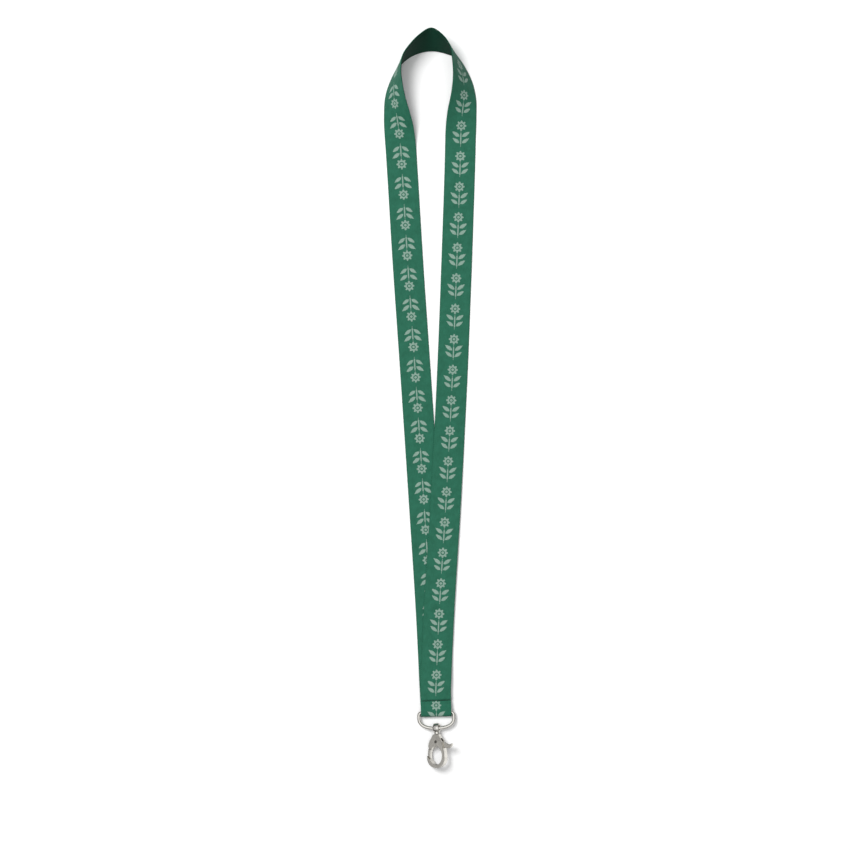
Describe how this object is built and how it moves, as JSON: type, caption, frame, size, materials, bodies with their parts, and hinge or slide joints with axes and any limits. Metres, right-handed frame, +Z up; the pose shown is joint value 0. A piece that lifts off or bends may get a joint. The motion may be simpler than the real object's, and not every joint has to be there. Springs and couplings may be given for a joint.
{
  "type": "lanyard",
  "caption": "Woven green neck ribbon with flower-and-leaf motifs, sewn round a nickel D-ring that carries a swivelling lobster hook with a sprung thumb gate.",
  "frame": {"origin": "on the table under the middle of the lanyard's bounding box, as it lies on its back", "axes": "+Y runs along the table from the hook to the neck loop, +Z is up from the table, and +X is to the right, seen from above with the neck loop up"},
  "size_m": [0.0608, 0.4825, 0.0191],
  "materials": {
    "ribbon_cloth": "woven satin face with pale sage motifs, plain dark green reverse",
    "sewing_thread": "dark green sewing thread",
    "nickel_wire": "bright nickel plate",
    "cast_nickel": "satin nickel plate on a casting",
    "pin_steel": "dark plain steel",
    "spring_steel": "bright spring wire"
  },
  "bodies": {
    "strap": {"ribbon": "ribbon_cloth", "seam_needle_thread": "sewing_thread", "seam_bobbin_thread": "sewing_thread"},
    "ring": {"d_ring": "nickel_wire"},
    "eye": {"swivel_eye": "nickel_wire"},
    "clasp": {"clasp_body": "cast_nickel", "gate_pin": "pin_steel", "gate_spring": "spring_steel"},
    "gate": {"gate_lever": "cast_nickel"}
  },
  "joints": [
    {"name": "ring_swing", "type": "hinge", "parent": "strap", "child": "ring", "pos_m": [0.0039, -0.2051, 0.00225], "axis": [0.9997, 0.0262, 0], "range_deg": [-85, 85]},
    {"name": "eye_swing", "type": "hinge", "parent": "ring", "child": "eye", "pos_m": [0.00417, -0.21523, 0.00338], "axis": [0.9997, 0.0262, 0], "range_deg": [-70, 70]},
    {"name": "clasp_swivel", "type": "hinge", "parent": "eye", "child": "clasp", "pos_m": [0.0044, -0.22404, 0.00423], "axis": [-0.0261, 0.9951, -0.0958], "continuous": true},
    {"name": "gate_pivot", "type": "hinge", "parent": "clasp", "child": "gate", "pos_m": [0.0044, -0.22404, 0.00423], "axis": [-0.4405, 0.0746, 0.8947], "range_deg": [0, 26], "stiffness_Nm_per_rad": 0.002, "springref_deg": -14.32}
  ]
}
